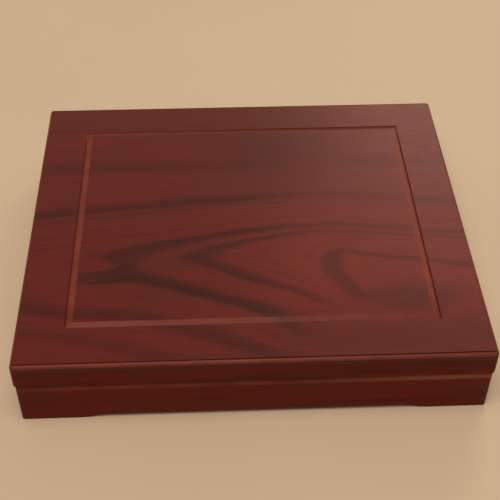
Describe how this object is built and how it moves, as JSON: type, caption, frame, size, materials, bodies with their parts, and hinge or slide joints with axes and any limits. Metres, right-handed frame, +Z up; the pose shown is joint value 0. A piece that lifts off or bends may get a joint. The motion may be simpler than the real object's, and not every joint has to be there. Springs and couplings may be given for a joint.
{
  "type": "coin display case",
  "caption": "Low wooden case on bracket feet: hinged lid with a routed panel and stepped edge, lift-out tray with square coin compartments, space for papers beneath.",
  "frame": {"origin": "on the floor under the middle of the case", "axes": "+X across the case to the right, +Y to the hinged back, +Z up"},
  "size_m": [0.3, 0.263, 0.052],
  "materials": {
    "mahogany": "dark red stain under satin lacquer",
    "board": "bare fibreboard",
    "velvet": "short-pile velvet",
    "satin": "satin weave",
    "ribbon": "satin ribbon",
    "felt": "wool felt",
    "brass": "polished",
    "nickel": "nickel plate"
  },
  "bodies": {
    "base": {"base_front_rail": "mahogany", "base_back_rail": "mahogany", "base_left_rail": "mahogany", "base_right_rail": "mahogany", "base_bottom_panel": "board", "floor_lining": "velvet", "front_ledge_strip": "velvet", "back_ledge_strip": "velvet", "left_ledge_strip": "velvet", "right_ledge_strip": "velvet", "underside_felt": "felt", "left_hinge_base_leaf": "brass", "right_hinge_base_leaf": "brass", "left_hinge_pin": "brass", "right_hinge_pin": "brass", "base_hinge_screws": "brass", "base_magnets": "nickel"},
    "lid": {"lid_top_panel": "mahogany", "lid_front_rail": "mahogany", "lid_back_rail": "mahogany", "lid_left_rail": "mahogany", "lid_right_rail": "mahogany", "lid_lining_board": "board", "lid_lining_pad": "satin", "lid_magnets": "nickel", "lid_hinge_screws": "brass", "left_hinge_lid_leaf": "brass", "right_hinge_lid_leaf": "brass"},
    "tray": {"tray_bottom_board": "board", "tray_floor_lining": "velvet", "coin_tray_insert": "velvet", "tray_front_rail": "mahogany", "tray_back_rail": "mahogany", "tray_left_rail": "mahogany", "tray_right_rail": "mahogany", "left_pull_ribbon": "ribbon", "right_pull_ribbon": "ribbon"}
  },
  "joints": [
    {"name": "lid_hinge", "type": "hinge", "parent": "base", "child": "lid", "pos_m": [0, 0.127, 0.03315], "axis": [-1, 0, 0], "range_deg": [0, 95]},
    {"name": "tray_lift", "type": "slide", "parent": "base", "child": "tray", "axis": [0, 0, 1], "range_m": [0, 0.0105]}
  ]
}
